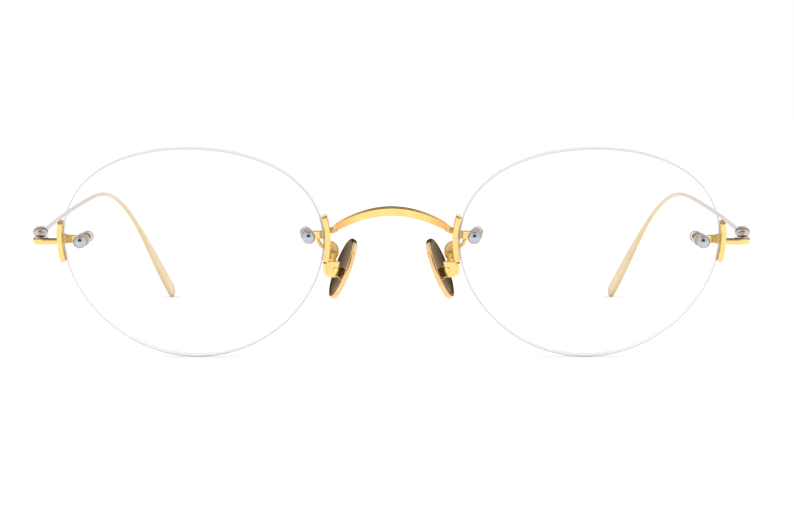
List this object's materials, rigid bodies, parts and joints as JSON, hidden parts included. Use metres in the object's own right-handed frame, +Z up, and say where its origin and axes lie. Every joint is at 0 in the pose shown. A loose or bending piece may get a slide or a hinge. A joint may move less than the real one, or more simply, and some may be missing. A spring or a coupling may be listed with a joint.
{
  "type": "rimless eyeglasses",
  "caption": "Rimless eyeglasses with clear oval lenses, gold wire bridge, rocking metal nose pads and folding wire temples.",
  "frame": {"origin": "on the surface that the glasses stand on, below the middle of their open box", "axes": "+X to the wearer's left, +Y from the lenses back to the temple tips, +Z up with the glasses standing open on their lens bottoms and temple tips"},
  "size_m": [0.1324, 0.1482, 0.0387],
  "materials": {
    "lens_clear": "clear, polished faces and a satin ground edge",
    "gold": "bright yellow gold plate",
    "pale_gold": "bright pale gold plate",
    "steel": "polished",
    "clear_plastic": "clear, glossy"
  },
  "bodies": {
    "front": {"lens_left": "lens_clear", "lens_right": "lens_clear", "bridge": "gold", "inner_strap_left": "gold", "inner_strap_right": "gold", "outer_strap_left": "gold", "outer_strap_right": "gold", "endpiece_left": "gold", "endpiece_right": "gold", "pad_arm_left": "gold", "pad_arm_right": "gold", "pad_box_left": "gold", "pad_box_right": "gold", "lens_screw_outer_left": "steel", "lens_screw_outer_right": "steel", "lens_screw_inner_left": "steel", "lens_screw_inner_right": "steel", "lens_nut_outer_left": "steel", "lens_nut_outer_right": "steel", "lens_nut_inner_left": "steel", "lens_nut_inner_right": "steel", "lens_bush_outer_left": "clear_plastic", "lens_bush_outer_right": "clear_plastic", "lens_bush_inner_left": "clear_plastic", "lens_bush_inner_right": "clear_plastic", "end_cap_outer_left": "clear_plastic", "end_cap_outer_right": "clear_plastic", "end_cap_inner_left": "clear_plastic", "end_cap_inner_right": "clear_plastic", "pad_screw_left": "steel", "pad_screw_right": "steel", "hinge_screw_left": "steel", "hinge_screw_right": "steel", "hinge_washer_left": "clear_plastic", "hinge_washer_right": "clear_plastic"},
    "temple_left": {"temple_left": "pale_gold"},
    "temple_right": {"temple_right": "pale_gold"},
    "nose_pad_left": {"nose_pad_left": "gold"},
    "nose_pad_right": {"nose_pad_right": "gold"}
  },
  "joints": [
    {"name": "temple_left_fold", "type": "hinge", "parent": "front", "child": "temple_left", "pos_m": [0.06475, -0.06359, 0.0227], "axis": [0, 0, 1], "range_deg": [0, 86]},
    {"name": "temple_right_fold", "type": "hinge", "parent": "front", "child": "temple_right", "pos_m": [-0.06475, -0.06359, 0.0227], "axis": [0, 0, -1], "range_deg": [0, 80]},
    {"name": "nose_pad_left_rock", "type": "hinge", "parent": "front", "child": "nose_pad_left", "pos_m": [0.01057, -0.06439, 0.0158], "axis": [0.309, 0.9511, 0], "range_deg": [-10, 10]},
    {"name": "nose_pad_right_rock", "type": "hinge", "parent": "front", "child": "nose_pad_right", "pos_m": [-0.01057, -0.06439, 0.0158], "axis": [-0.309, 0.9511, 0], "range_deg": [-10, 10]}
  ]
}
